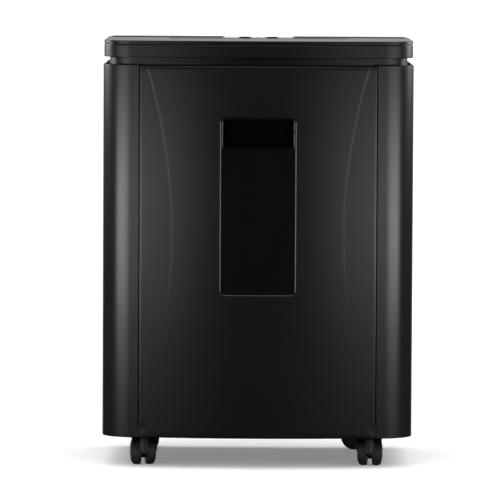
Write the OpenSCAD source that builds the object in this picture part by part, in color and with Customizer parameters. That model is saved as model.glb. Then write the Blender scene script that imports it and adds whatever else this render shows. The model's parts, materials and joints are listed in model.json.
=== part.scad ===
// Cabinet paper shredder on twin-wheel casters, with a pull-out waste bin.
// Millimetres. Floor centre at the origin, +Z up, front towards -Y.

/* [Cabinet] */
// Width across the side panels
body_w = 400; // [340:1:480]
// Depth at the middle of the bowed front
body_d = 305; // [280:1:366]
// Height of the cabinet, without casters and head
cabinet_h = 479; // [440:1:575]
// Height of the cabinet's underside above the floor
floor_gap = 39; // [38.5:0.5:50]
// Radius of the bowed front
bow_r = 820; // [680:10:1500]
// Radius of the front corners
corner_r = 45; // [35:1:60]
// Radius of the rear corners
rear_r = 15; // [6:1:25]
// Thickness of the moulded panels
wall = 3; // [2.5:0.1:4]
// Thickness of the base plate and the top frame
deck_t = 6; // [4:0.5:8]
// Distance from the side of the cabinet to the seam beside the bin front
seam_inset = 47; // [40:0.5:50]
// Open gap between the bin front and its neighbours
seam_gap = 1; // [0.6:0.1:1.5]

/* [Head] */
// Height of the recessed neck under the head
neck_h = 9.5; // [6:0.5:16]
// How far the neck is set back from the cabinet
neck_inset = 8.5; // [6:0.5:12]
// Height of the head's rim
rim_h = 16.5; // [14:0.5:24]
// How far the head is set back from the cabinet
head_inset = 1; // [0.5:0.25:3]
// Groove between the rim and the top cover
lid_groove = 1; // [0.5:0.1:1.5]
// Thickness of the top cover
lid_t = 4; // [3:0.5:6]
// Height of the raised band along the back of the top cover
band_h = 1; // [0.5:0.1:1.5]
// Width of the raised band from front to back
band_d = 60; // [30:1:70]

/* [Feed throat and cutters] */
// Clear width of the paper slot
throat_w = 230; // [200:1:231]
// Clear gap of the paper slot
throat_gap = 7; // [5:0.5:9]
// Width of the flared mouth at the top cover
mouth_w = 24; // [18:1:30]
// Distance of the paper slot behind the middle of the cabinet
throat_y = 30; // [20:1:36]
// Radius of a cutter disc
disc_r = 20; // [18:0.5:21]
// Thickness of a cutter disc
disc_t = 4; // [3:0.1:5]
// Side clearance between meshing cutter discs
disc_gap = 0.2; // [0.1:0.05:0.5]
// How far the two rows of discs overlap
disc_overlap = 4; // [2:0.5:5]
// Number of discs on the front cutter
disc_count = 27; // [21:1:27]
// Radius of a cutter shaft between the discs
shaft_r = 7; // [6.5:0.5:8]
// Radius of a cutter shaft in its bearings
journal_r = 6; // [4:0.5:6]

/* [Drive] */
// Teeth on each synchronising gear
sync_teeth = 24; // [20:1:28]
// Teeth on the large drive gear
drive_teeth = 48; // [40:2:48]
// Teeth on both pinions
pinion_teeth = 14; // [13:1:16]
// Teeth on the large intermediate wheel
idler_teeth = 60; // [50:2:60]
// Module of the drive gear and its pinion
drive_mod = 1.25; // [1:0.05:1.25]
// Module of the intermediate wheel and the motor pinion
motor_mod = 1; // [0.8:0.05:1]
// Radius of the motor can
motor_r = 28; // [22:1:29]
// Length of the motor can
motor_l = 142; // [100:1:150]

/* [Bin] */
// Width of the window and handle opening
window_w = 95; // [70:1:130]
// Height of the window pane
pane_h = 187; // [120:1:200]
// Height of the handle recess above the pane
handle_h = 38.5; // [32:0.5:48]
// Depth of the handle recess
handle_d = 38; // [30:1:45]
// Height of the pane's lower edge above the cabinet's underside
window_z = 185.5; // [120:0.5:190]
// Corner radius of the opening
window_r = 6; // [3:0.5:10]
// Thickness of the bin's walls
bin_wall = 2.5; // [2:0.1:4]

/* [Controls] */
// Width of the control panel
panel_w = 90; // [76:1:120]
// Depth of the control panel
panel_d = 88; // [75:1:90]
// Radius of a push button
button_r = 8; // [6:0.5:9]
// Distance of a push button from the middle
button_x = 18; // [13:0.5:25]
// Height of a button above the panel
button_proud = 1.5; // [1.2:0.1:3]
// Travel of a button
button_travel = 1.2; // [0.5:0.1:1.2]

/* [Casters] */
// Radius of a wheel
wheel_r = 17.5; // [14:0.5:17.5]
// Width of one wheel of a pair
wheel_w = 12.5; // [10:0.5:18]
// Gap between the two wheels of a pair
wheel_gap = 7; // [7:0.1:10]
// Distance from the swivel axis to the axle
trail = 14; // [10:0.5:15]
// Distance of the swivel axis from the cabinet's side
caster_side = 55; // [45:1:70]
// Distance of the front swivel axes from the front
caster_front = 48.5; // [44:0.5:70]
// Distance of the rear swivel axes from the back
caster_rear = 34.5; // [32:0.5:70]

/* [Hidden] */
$fn = 64;
running = 0.05;         // radial clearance of a turning shaft
slip = 0.3;             // clearance around a fitted insert
side_x = body_w / 2;
front_y = -body_d / 2;
rear_y = body_d / 2;
seam_x = side_x - seam_inset;
cab_top = floor_gap + cabinet_h;
neck_top = cab_top + neck_h;
rim_top = neck_top + rim_h;
lid_z = rim_top + lid_groove;
lid_top = lid_z + lid_t;
shelf_t = 2.5;
shelf_top = neck_top + shelf_t;
front_inset = wall + 6;

// plan outline: bow centre, corner centres and half the bow's angle
bow_cy = front_y + bow_r;
corner_x = side_x - corner_r;
corner_y = bow_cy - sqrt(pow(bow_r - corner_r, 2) - pow(corner_x, 2));
bow_angle = asin(corner_x / (bow_r - corner_r));

// cutter unit
pitch = 2 * (disc_t + disc_gap);
axis_gap = 2 * disc_r - disc_overlap;
cutter_z = cab_top - 36;
front_axis = throat_y - axis_gap / 2;
rear_axis = throat_y + axis_gap / 2;
plate_t = 3;
plate_x = max(disc_count * pitch / 2 + 4.6, throat_w / 2 + 3);
plate_low = cutter_z - 34;
plate_top = cab_top - deck_t;
bush_r = journal_r + 3;
rod_r = 4;
throat_wall = 2.5;
throat_low = cutter_z + disc_r + 4;

// gear train, outwards from the left cutter plate
drive_r = drive_teeth * drive_mod / 2;
drive_pinion_r = pinion_teeth * drive_mod / 2;
idler_r = idler_teeth * motor_mod / 2;
motor_pinion_r = pinion_teeth * motor_mod / 2;
sync_mod = axis_gap / sync_teeth;
idler_axis = front_axis - drive_r - drive_pinion_r;
motor_axis = idler_axis - idler_r - motor_pinion_r;
gear_x = -plate_x - plate_t;
sync_x = gear_x - 8;
sync_w = 5.5;
drive_x = sync_x - 11;
drive_w = 9;
idler_x = drive_x - 7;
idler_w = 5;
idler_pin_r = 3;
cover_wall = 2;
cover_x = idler_x - 8;
pressure_angle = 25;
addendum = 0.8;
dedendum = 1.05;
backlash = 0.12;

// motor
motor_shaft_r = 4;
motor_wall = 2;
mount_t = 3;
motor_x = -plate_x + mount_t;

// openings in the decks above the cutter unit
bay_left = cover_x - 2;
bay_right = plate_x + 0.5;
bay_front = motor_axis - motor_pinion_r - 7;
bay_rear = rear_axis + axis_gap / 2 + 6;

// bin
window_low = floor_gap + window_z;
pane_top = window_low + pane_h;
window_top = pane_top + handle_h;
pocket_wall = 2;
bin_x = seam_x - 10.4;
bin_rear = rear_y - 17.5;
bin_low = floor_gap + 27;
bin_top = cab_top - 88;
rail_x = bin_x - 31;
rail_w = 20;
skid_w = 8;
skid_gap = 0.5;

// controls
panel_t = 1.5;
panel_y = throat_y + mouth_w / 2 + 10;
button_y = panel_y + 20;
lens_y = panel_y + 48;
board_y = panel_y + 4;
board_d = 80;
hole_gap = 0.4;
lens_r = 2;
board_t = 1.6;
board_z = lid_z - 14;
switch_h = 4;

// rear fittings, in the upper part of the rear panel
rear_face = rear_y - wall;
fitting_z = cab_top - 28;
gland_x = -120;
gland_bore = 4;
gland_r = 7.5;
rocker_x = 120;
rocker_y = rear_y - 10;
rocker_rest = 8;
screw_x = side_x - 40;

// casters: place and resting turn of each
caster_x = side_x - caster_side;
caster_fy = front_y + caster_front;
caster_ry = rear_y - caster_rear;
FRONT_LEFT = [-caster_x, caster_fy, 9];
FRONT_RIGHT = [caster_x, caster_fy, -6];
REAR_LEFT = [-caster_x, caster_ry, 6];
REAR_RIGHT = [caster_x, caster_ry, 84];
CASTERS = [FRONT_LEFT, FRONT_RIGHT, REAR_LEFT, REAR_RIGHT];
stem_r = 4;
stem_low = 30;
socket_r = 8;
socket_h = 24;
axle_r = 3;
hood_gap = 0.6;
hood_t = 1.2;
boss_r = 7;
boss_top = floor_gap - 0.7;

// ---------------------------------------------------------------- outlines

// Box between two opposite corners
module block(low, high) {
    translate(low) cube(high - low);
}

// Rectangle between two opposite corners
module rect(low, high) {
    translate(low) square(high - low);
}

// Points along an arc
function arc(centre, r, from, to, steps) =
    [for (i = [0:steps]) let (a = from + (to - from) * i / steps) centre + r * [cos(a), sin(a)]];

// Plan of the cabinet, set in by a distance all round
module plan(inset = 0) {
    half_w = side_x - inset;
    back = rear_y - inset;
    back_r = max(rear_r - inset, 1);
    front_r = corner_r - inset;
    polygon(concat(
        arc([0, bow_cy], bow_r - inset, 270 - bow_angle, 270 + bow_angle, 48),
        arc([corner_x, corner_y], front_r, 272 + bow_angle, 360, 16),
        arc([half_w - back_r, back - back_r], back_r, 0, 90, 8),
        arc([-half_w + back_r, back - back_r], back_r, 90, 180, 8),
        arc([-corner_x, corner_y], front_r, 180, 268 - bow_angle, 16)
    ));
}

// Wall that follows the plan between two insets
module plan_band(outer, inner) {
    difference() {
        plan(outer);
        plan(inner);
    }
}

// Deck outline: behind the bin front in the middle, out to the side panels beside it
module deck_plan() {
    plan(front_inset);
    intersection() {
        plan(wall);
        difference() {
            rect([-side_x, front_y], [side_x, rear_y]);
            rect([-seam_x - seam_gap, front_y - 1], [seam_x + seam_gap, 0]);
        }
    }
}

// Opening in the decks that the cutter unit stands in
module bay() {
    rect([bay_left, bay_front], [bay_right, bay_rear]);
}

// Lay an outline in the Y-Z plane and extrude it along X
module along_x(x, length) {
    translate([x, 0, 0]) rotate([90, 0, 90]) linear_extrude(length) children();
}

// Cylinder along X
module rod_x(x, length, y, z, r) {
    translate([x, y, z]) rotate([0, 90, 0]) cylinder(h = length, r = r);
}

// Cylinder along Y
module rod_y(x, y, z, length, r) {
    translate([x, y, z]) rotate([-90, 0, 0]) cylinder(h = length, r = r);
}

// Rounded opening in the front, as a prism along Y
module front_opening(low, high, half_w, r) {
    translate([0, front_y - 20, 0]) rotate([-90, 0, 0]) mirror([0, 1, 0]) linear_extrude(60) {
        rect([-half_w + r, low], [half_w - r, high]);
        rect([-half_w, low + r], [half_w, high - r]);
        for (x = [-half_w + r, half_w - r], z = [low + r, high - r]) {
            translate([x, z]) circle(r);
        }
    }
}

// ---------------------------------------------------------------- gears

// Angle that an involute turns through between its base circle and a radius
function involute(base, r) =
    r <= base ? 0 : let (t = sqrt(pow(r / base, 2) - 1)) t * 180 / PI - atan(t);

// Half the angle of a tooth at a radius
function tooth_half(teeth, pitch_r, base, r) =
    90 / teeth - backlash / pitch_r * 90 / PI + involute(base, pitch_r) - involute(base, r);

// Outline of a spur gear with a tooth centred on angle zero
function gear_points(teeth, mod, steps = 5) =
    let (
        pitch_r = teeth * mod / 2,
        base = pitch_r * cos(pressure_angle),
        tip = pitch_r + addendum * mod,
        root = pitch_r - dedendum * mod
    )
    [for (k = [0:teeth - 1], side = [-1, 1], i = [0:steps])
        let (
            r = root + (tip - root) * (side < 0 ? i : steps - i) / steps,
            a = 360 * k / teeth + side * tooth_half(teeth, pitch_r, base, r)
        )
        [r * cos(a), r * sin(a)]];

// Toothed wheel along X on an axis at the cutters' height
module gear(x, width, y, teeth, mod, turn) {
    translate([0, y, cutter_z]) along_x(x, width) rotate(turn) polygon(gear_points(teeth, mod));
}

// ---------------------------------------------------------------- cabinet

module side_panel(side) {
    color("#1c1c1d") mirror([side < 0 ? 1 : 0, 0, 0]) {
        translate([0, 0, floor_gap]) linear_extrude(cabinet_h) intersection() {
            plan_band(0, wall);
            union() {
                rect([seam_x, front_y - 1], [side_x + 1, 0]);
                rect([side_x - 30, 0], [side_x + 1, rear_y + 1]);
            }
        }
        translate([0, 0, floor_gap + deck_t]) linear_extrude(cabinet_h - 2 * deck_t) intersection() {
            plan_band(wall, 4 * wall);
            rect([seam_x, front_y], [seam_x + wall, 0]);
        }
    }
}

module rear_panel() {
    vents = 13;
    vent_pitch = 10;
    color("#1a1a1b") difference() {
        block([-side_x + rear_r, rear_face - wall, floor_gap + deck_t],
            [side_x - rear_r, rear_face, plate_top]);
        for (i = [0:vents - 1]) {
            translate([(i - (vents - 1) / 2) * vent_pitch - 2, rear_face - wall - 1, fitting_z - 22])
                cube([4, wall + 2, 40]);
        }
        rod_y(gland_x, rear_face - wall - 1, fitting_z, wall + 2, gland_r);
        block([rocker_x - 12.5, rear_face - wall - 1, fitting_z - 10.5],
            [rocker_x + 12.5, rear_face + 1, fitting_z + 10.5]);
        at_case_screws() rod_y(0, rear_face - wall - 1, 0, wall + 2, 1.5);
    }
}

// Places of the rear panel's screws
module at_case_screws() {
    rows = 4;
    span = cabinet_h - 60;
    for (x = [-screw_x, screw_x], i = [0:rows - 1]) {
        translate([x, 0, floor_gap + 30 + span * i / (rows - 1)]) children();
    }
}

module case_screws() {
    color("#3a3b3d") at_case_screws() {
        rod_y(0, rear_face, 0, 1.8, 3.5);
        rod_y(0, rear_face - wall, 0, wall + 0.5, 1.5);
    }
}

module base_plate() {
    color("#151516") difference() {
        translate([0, 0, floor_gap]) linear_extrude(deck_t) deck_plan();
        for (c = CASTERS) {
            translate([c.x, c.y, floor_gap - 1]) cylinder(h = deck_t + 2, r = socket_r);
        }
    }
}

module caster_sockets() {
    color("#252527") for (c = CASTERS) {
        translate([c.x, c.y, floor_gap]) difference() {
            union() {
                cylinder(h = socket_h, r = socket_r);
                translate([0, 0, deck_t]) cylinder(h = 2, r = socket_r + 4);
            }
            translate([0, 0, -1]) cylinder(h = socket_h - 1, r = stem_r + running);
        }
    }
}

module top_frame() {
    color("#181819") translate([0, 0, plate_top]) linear_extrude(deck_t) difference() {
        deck_plan();
        bay();
    }
}

module bin_rails() {
    low = floor_gap + deck_t;
    high = bin_low - 4;
    groove = skid_w / 2 + skid_gap;
    color("#2a2a2c") for (side = [-1, 1]) {
        difference() {
            block([side * rail_x - rail_w / 2, front_y + 30, low],
                [side * rail_x + rail_w / 2, rear_y - 12, high]);
            block([side * rail_x - groove, front_y + 29, high - 8],
                [side * rail_x + groove, rear_y - 11, high + 1]);
        }
    }
}

// ---------------------------------------------------------------- head

module neck_tray() {
    color("#101011") {
        translate([0, 0, cab_top]) linear_extrude(neck_h) plan_band(neck_inset, neck_inset + wall);
        translate([0, 0, cab_top]) linear_extrude(2) difference() {
            plan(neck_inset + 1);
            bay();
        }
    }
}

module head_rim() {
    color("#1c1c1d") {
        translate([0, 0, neck_top]) linear_extrude(rim_h) plan_band(head_inset, head_inset + wall);
        translate([0, 0, neck_top]) linear_extrude(shelf_t) plan_band(head_inset + 1, head_inset + 15);
    }
}

// Round openings for the buttons and the indicator lenses
module control_holes(button_gap, lens_gap) {
    for (side = [-1, 1]) {
        translate([side * button_x, button_y]) circle(button_r + button_gap);
    }
    at_lenses() circle(lens_r + lens_gap);
}

module at_lenses() {
    for (i = [-1:1]) {
        translate([10 * i, lens_y]) children();
    }
}

// Two raised fields along the back of the cover, clear of the control panel's width
module rear_band() {
    margin = 5;
    intersection() {
        plan(head_inset + margin);
        for (side = [-1, 1]) {
            mirror([side < 0 ? 1 : 0, 0]) rect([panel_w / 2 + 2, rear_y - margin - band_d], [side_x, rear_y]);
        }
    }
}

module top_cover() {
    half_throat = throat_w / 2 + throat_wall + slip;
    half_mouth = mouth_w / 2 + throat_wall + slip;
    skirt = head_inset + wall + 0.5;
    color("#1e1e1f") {
        difference() {
            union() {
                translate([0, 0, lid_z]) linear_extrude(lid_t) plan(head_inset);
                translate([0, 0, lid_z]) linear_extrude(lid_t + band_h) rear_band();
                translate([0, 0, shelf_top]) linear_extrude(lid_z - shelf_top + 1)
                    plan_band(skirt, skirt + 2);
            }
            block([-half_throat, throat_y - half_mouth, lid_z - 1],
                [half_throat, throat_y + half_mouth, lid_top + 1]);
            block([-panel_w / 2 - slip, panel_y - slip, lid_top - panel_t],
                [panel_w / 2 + slip, panel_y + panel_d + slip, lid_top + 1]);
            translate([0, 0, lid_z - 1]) linear_extrude(lid_t + 2) control_holes(hole_gap, 0);
        }
        for (x = [-44, 44], y = [board_y + 4, board_y + board_d - 4]) {
            translate([x, y, board_z + board_t]) cylinder(h = lid_z - board_z - board_t + 1, r = 3);
        }
    }
}

module feed_throat() {
    half_mouth = mouth_w / 2;
    half_slot = throat_gap / 2;
    shoulder = lid_top - 5;
    flare_low = lid_top - 24;
    color("#141415") translate([0, throat_y, 0]) difference() {
        along_x(-throat_w / 2 - throat_wall, throat_w + 2 * throat_wall) polygon([
            [-half_mouth - throat_wall, lid_top], [-half_mouth - throat_wall, shoulder],
            [-half_slot - throat_wall, flare_low], [-half_slot - throat_wall, throat_low],
            [half_slot + throat_wall, throat_low], [half_slot + throat_wall, flare_low],
            [half_mouth + throat_wall, shoulder], [half_mouth + throat_wall, lid_top]
        ]);
        along_x(-throat_w / 2, throat_w) polygon([
            [-half_mouth, lid_top + 1], [-half_mouth, shoulder + 1],
            [-half_slot, flare_low + 1], [-half_slot, throat_low - 1],
            [half_slot, throat_low - 1], [half_slot, flare_low + 1],
            [half_mouth, shoulder + 1], [half_mouth, lid_top + 1]
        ]);
    }
}

module control_panel() {
    color("#3c3e42") translate([0, 0, lid_top - panel_t]) linear_extrude(panel_t) difference() {
        rect([-panel_w / 2, panel_y], [panel_w / 2, panel_y + panel_d]);
        control_holes(hole_gap, 0);
    }
}

module indicator_lenses() {
    color("#8fb8a0") translate([0, 0, lid_z]) linear_extrude(lid_t + 0.4) at_lenses() circle(lens_r);
}

module circuit_board() {
    color("#1f5a38") {
        block([-50, board_y, board_z], [50, board_y + board_d, board_z + board_t]);
        for (side = [-1, 1]) {
            translate([side * button_x - 3, button_y - 3, board_z + board_t]) cube([6, 6, switch_h]);
        }
        block([-40, board_y + 14, board_z + board_t], [-24, board_y + 36, board_z + board_t + 8]);
        block([24, board_y + 12, board_z + board_t], [40, board_y + 34, board_z + board_t + 8]);
    }
}

// Push button with a retaining flange under the cover and a stem above its switch
module push_button(side) {
    flange_top = lid_z - slip;
    stem_end = board_z + board_t + switch_h + button_travel + 0.2;
    color("#2b2c2e") translate([side * button_x, button_y, 0]) {
        translate([0, 0, flange_top - 2]) cylinder(h = lid_top + button_proud - flange_top + 2, r = button_r);
        translate([0, 0, flange_top - 2]) cylinder(h = 2, r = button_r + 2);
        translate([0, 0, stem_end]) cylinder(h = flange_top - 1 - stem_end, r = 2.5);
    }
}

// ---------------------------------------------------------------- cutter unit

module at_rods() {
    for (p = [[rear_axis + 27, 20], [rear_axis + 27, -24], [front_axis - 22, -26], [front_axis - 27, 24]]) {
        translate([0, p.x, cutter_z + p.y]) children();
    }
}

module cutter_plate(side, front) {
    x = side < 0 ? -plate_x - plate_t : plate_x;
    difference() {
        block([x, front, plate_low], [x + plate_t, bay_rear + 10, plate_top]);
        for (y = [front_axis, rear_axis]) {
            rod_x(x - 1, plate_t + 2, y, cutter_z, bush_r);
        }
        at_rods() rod_x(x - 1, plate_t + 2, 0, 0, rod_r - 1);
        if (side < 0) {
            rod_x(x - 1, plate_t + 2, motor_axis, cutter_z, motor_shaft_r + 2);
        }
    }
}

module cutter_plates() {
    color("#9a9ca0") {
        cutter_plate(-1, bay_front - 20);
        cutter_plate(1, front_axis - 40);
    }
}

module tie_rods() {
    reach = plate_x + plate_t + 2;
    color("#b4b6ba") at_rods() {
        rod_x(-plate_x, 2 * plate_x, 0, 0, rod_r);
        rod_x(-reach, 2 * reach, 0, 0, rod_r - 1);
    }
}

module shaft_bushes() {
    color("#b08a4a") for (y = [front_axis, rear_axis], side = [-1, 1]) {
        mirror([side < 0 ? 1 : 0, 0, 0]) difference() {
            union() {
                rod_x(plate_x, plate_t + 1.5, y, cutter_z, bush_r);
                rod_x(plate_x + plate_t, 1.5, y, cutter_z, bush_r + 1.5);
            }
            rod_x(plate_x - 1, plate_t + 4, y, cutter_z, journal_r + running);
        }
    }
}

// Outline of a cutter disc with its cross-cut notches
module disc_outline(start) {
    notches = 5;
    difference() {
        circle(disc_r);
        for (k = [0:notches - 1]) {
            rotate(start + 360 * k / notches) translate([disc_r - 1.8, -2]) square([4, 4]);
        }
    }
}

// Cutter shaft with a row of discs; the left journal carries the gears
module cutter(y, count, left_end) {
    color("#8a8c90") {
        rod_x(-plate_x + 0.5, 2 * plate_x - 1, y, cutter_z, shaft_r);
        rod_x(left_end, plate_x + plate_t + 2 - left_end, y, cutter_z, journal_r);
        for (i = [0:count - 1]) {
            translate([0, y, cutter_z]) along_x((i - (count - 1) / 2) * pitch - disc_t / 2, disc_t)
                disc_outline(17 * i);
        }
    }
}

// Comb whose fingers stand between the discs of one cutter
module stripper_comb(y, count, side) {
    bar = y - side * (disc_r + 6);
    color("#4a4a4d") {
        block([-plate_x, bar - 4, cutter_z - 8], [plate_x, bar + 4, cutter_z + 8]);
        for (i = [0:count - 2]) {
            x = (i - (count - 2) / 2) * pitch;
            block([x - disc_t / 2 + 0.1, min(bar, y - side * (shaft_r + 1.5)), cutter_z - 6],
                [x + disc_t / 2 - 0.1, max(bar, y - side * (shaft_r + 1.5)), cutter_z + 6]);
        }
    }
}

module stripper_combs() {
    stripper_comb(front_axis, disc_count, 1);
    stripper_comb(rear_axis, disc_count - 1, -1);
}

module front_sync_gear() {
    color("#c9c3b4") difference() {
        gear(sync_x, sync_w, front_axis, sync_teeth, sync_mod, 0);
        rod_x(sync_x - 1, sync_w + 2, front_axis, cutter_z, journal_r);
    }
}

module rear_sync_gear() {
    color("#c9c3b4") difference() {
        gear(sync_x, sync_w, rear_axis, sync_teeth, sync_mod, 180 + 180 / sync_teeth);
        rod_x(sync_x - 1, sync_w + 2, rear_axis, cutter_z, journal_r);
    }
}

module drive_gear() {
    color("#d8d4c8") difference() {
        gear(drive_x, drive_w, front_axis, drive_teeth, drive_mod, 180);
        rod_x(drive_x - 1, drive_w + 2, front_axis, cutter_z, journal_r);
    }
}

module idler_pin() {
    color("#b4b6ba") rod_x(cover_x + cover_wall, gear_x - cover_x - cover_wall, idler_axis, cutter_z,
        idler_pin_r);
}

module idler_gear() {
    color("#d8d4c8") difference() {
        union() {
            gear(drive_x, drive_w, idler_axis, pinion_teeth, drive_mod, 180 / pinion_teeth);
            gear(idler_x, idler_w, idler_axis, idler_teeth, motor_mod, 180);
            rod_x(idler_x, drive_x + drive_w - idler_x, idler_axis, cutter_z, idler_pin_r + 2.5);
        }
        rod_x(idler_x - 1, drive_x + drive_w - idler_x + 2, idler_axis, cutter_z, idler_pin_r + running);
    }
}

module gearbox_cover() {
    low = [cover_x, bay_front + 2, cutter_z - 34];
    high = [gear_x, bay_rear - 0.5, cutter_z + 34];
    color("#5a5c60") difference() {
        block(low, high);
        block(low + [cover_wall, cover_wall, cover_wall], high + [1, -cover_wall, -cover_wall]);
    }
}

// ---------------------------------------------------------------- motor

module motor_mount() {
    half = motor_r - 1;
    color("#7c7e82") difference() {
        block([-plate_x, motor_axis - half, cutter_z - half],
            [motor_x, motor_axis + half, cutter_z + half]);
        rod_x(-plate_x - 1, mount_t + 2, motor_axis, cutter_z, motor_shaft_r + 2);
    }
}

module motor_can() {
    color("#8c8e92") difference() {
        rod_x(motor_x, motor_l, motor_axis, cutter_z, motor_r);
        rod_x(motor_x + motor_wall, motor_l - 2 * motor_wall, motor_axis, cutter_z, motor_r - motor_wall);
        rod_x(motor_x - 1, motor_l + 2, motor_axis, cutter_z, motor_shaft_r + running);
    }
}

module motor_armature() {
    tail = motor_x + motor_l + 12;
    color("#a06a3c") {
        rod_x(idler_x - 2, tail - idler_x + 2, motor_axis, cutter_z, motor_shaft_r);
        rod_x(motor_x + 15, motor_l - 40, motor_axis, cutter_z, motor_r - 7);
    }
}

module motor_pinion() {
    color("#b4b6ba") difference() {
        gear(idler_x - 1, idler_w + 2, motor_axis, pinion_teeth, motor_mod, 180 / pinion_teeth);
        rod_x(idler_x - 2, idler_w + 4, motor_axis, cutter_z, motor_shaft_r);
    }
}

module motor_fan() {
    x = motor_x + motor_l + 2;
    blades = 9;
    color("#e4e4e0") difference() {
        union() {
            rod_x(x, 8, motor_axis, cutter_z, motor_shaft_r + 3);
            rod_x(x, 1.5, motor_axis, cutter_z, motor_r - 4);
            translate([x, motor_axis, cutter_z]) for (k = [0:blades - 1]) {
                rotate([360 * k / blades, 0, 0]) translate([0, motor_shaft_r + 2, -0.6])
                    cube([8, motor_r - motor_shaft_r - 6, 1.2]);
            }
        }
        rod_x(x - 1, 10, motor_axis, cutter_z, motor_shaft_r);
    }
}

// ---------------------------------------------------------------- rear fittings

module cord_gland() {
    color("#0f0f10") difference() {
        union() {
            rod_y(gland_x, rear_face, fitting_z, 2.5, gland_r + 3.5);
            rod_y(gland_x, rear_face - wall - 6, fitting_z, wall + 7, gland_r);
        }
        rod_y(gland_x, rear_face - wall - 7, fitting_z, wall + 11, gland_bore);
    }
}

module switch_housing() {
    color("#121213") translate([rocker_x, 0, fitting_z]) difference() {
        union() {
            block([-15, rear_face, -13], [15, rear_face + 1.5, 13]);
            block([-12.5, rear_y - 20, -10.5], [12.5, rear_face + 1, 10.5]);
        }
        block([-10.5, rear_y - 18, -8.5], [10.5, rear_y, 8.5]);
        rod_x(-13, 26, rocker_y, 0, 1.6);
    }
}

module power_rocker() {
    color("#26262a") translate([rocker_x, rocker_y, fitting_z]) rotate([rocker_rest, 0, 0]) {
        along_x(-9.5, 19) polygon([
            [7.5, 0], [8.6, 5.8], [4, 6], [-4, 3], [-4, -3], [4, -6], [8.6, -5.8]
        ]);
        rod_x(-12, 24, 0, 0, 1.5);
    }
}

module interlock_sensor() {
    color("#303234") block([94, front_y + 20, plate_top - 12], [106, front_y + 34, plate_top]);
}

// ---------------------------------------------------------------- bin

module bin_front() {
    panel_x = seam_x - seam_gap;
    rib = 2.5;
    color("#1c1c1d") difference() {
        union() {
            translate([0, 0, floor_gap + 0.5]) linear_extrude(cabinet_h - seam_gap - 0.5) intersection() {
                plan_band(0, wall);
                rect([-panel_x, front_y - 1], [panel_x, 0]);
            }
            translate([0, 0, floor_gap + 0.5]) linear_extrude(cabinet_h - seam_gap - 0.5) intersection() {
                plan_band(wall - 1, front_inset - 0.5);
                union() {
                    rect([-panel_x, front_y], [-panel_x + rib, 0]);
                    rect([panel_x - rib, front_y], [panel_x, 0]);
                }
            }
        }
        front_opening(window_low, window_top, window_w / 2, window_r);
    }
}

// Flange behind the bin front, around an opening from one height to another
module rear_flange(low, high) {
    margin = 6;
    translate([0, 0, low]) linear_extrude(high - low) intersection() {
        plan_band(wall, wall + 2);
        rect([-window_w / 2 - margin, front_y], [window_w / 2 + margin, 0]);
    }
}

module window_pane() {
    color([0.08, 0.08, 0.09, 0.75]) {
        intersection() {
            translate([0, 0, window_low + 0.2]) linear_extrude(pane_h - 0.4) plan_band(1.2, wall + 0.5);
            front_opening(window_low + 0.2, window_top, window_w / 2 - 0.2, window_r - 0.2);
        }
        rear_flange(window_low - 6, pane_top - 0.2);
    }
}

// Plan of the handle recess, narrowing towards its back
module pocket_plan(grow) {
    mouth = window_w / 2 - 0.2 - pocket_wall + grow;
    back = front_y + handle_d - pocket_wall + grow;
    polygon([[-mouth, front_y - 5], [mouth, front_y - 5], [mouth - 5, back], [-mouth + 5, back]]);
}

module handle_pocket() {
    color("#161617") difference() {
        union() {
            intersection() {
                translate([0, 0, pane_top + 0.2]) linear_extrude(handle_h - 0.4) intersection() {
                    pocket_plan(pocket_wall);
                    plan(0.8);
                }
                front_opening(pane_top - window_r * 2, window_top - 0.2, window_w / 2 - 0.2,
                    window_r - 0.2);
            }
            rear_flange(pane_top + 0.2, window_top + 6);
        }
        translate([0, 0, pane_top + 0.2 + pocket_wall])
            linear_extrude(handle_h - 0.4 - 2 * pocket_wall) pocket_plan(0);
    }
}

module waste_bin() {
    color("#2e2e30") {
        translate([0, 0, bin_low]) linear_extrude(bin_wall) intersection() {
            plan(wall);
            rect([-bin_x, front_y], [bin_x, bin_rear]);
        }
        translate([0, 0, bin_low]) linear_extrude(bin_top - bin_low) difference() {
            intersection() {
                plan(wall);
                rect([-bin_x, front_y], [bin_x, bin_rear]);
            }
            rect([-bin_x + bin_wall, front_y], [bin_x - bin_wall, bin_rear - bin_wall]);
        }
        for (side = [-1, 1]) {
            block([side * rail_x - skid_w / 2, front_y + 40, bin_low - 11],
                [side * rail_x + skid_w / 2, bin_rear - 5, bin_low + 1]);
        }
    }
}

module interlock_magnet() {
    color("#6e7074") translate([0, 0, plate_top - 12]) linear_extrude(11) intersection() {
        plan_band(wall, wall + 6);
        rect([94, front_y], [106, 0]);
    }
}

// ---------------------------------------------------------------- casters

// Place a caster part: swivel axis at the place, wheels trailing along local +Y
module at_caster(place) {
    translate([place.x, place.y, 0]) rotate([0, 0, place.z]) children();
}

module caster_housing(place) {
    half_w = wheel_gap / 2 + wheel_w;
    hood_r = wheel_r + hood_gap + hood_t;
    web = wheel_gap - 1.7;
    color("#131314") at_caster(place) difference() {
        union() {
            translate([0, trail, wheel_r]) {
                along_x(-half_w, 2 * half_w) intersection() {
                    difference() {
                        circle(hood_r);
                        circle(hood_r - hood_t);
                    }
                    polygon([[0, 0], [-40, 4], [-40, 40], [14, 40]]);
                }
                along_x(-web / 2, web) {
                    circle(9);
                    intersection() {
                        circle(hood_r - hood_t / 2);
                        polygon([[0, -6], [-40, 2], [-40, 40], [14, 40]]);
                    }
                }
            }
            intersection() {
                translate([0, 0, wheel_r]) cylinder(h = boss_top - wheel_r, r = boss_r);
                translate([0, trail, wheel_r]) along_x(-20, 40) difference() {
                    rect([-40, 0], [20, 40]);
                    circle(hood_r - hood_t / 2);
                }
            }
        }
        translate([0, 0, stem_low]) cylinder(h = 20, r = stem_r);
        rod_x(-web, 2 * web, trail, wheel_r, axle_r);
    }
}

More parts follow.
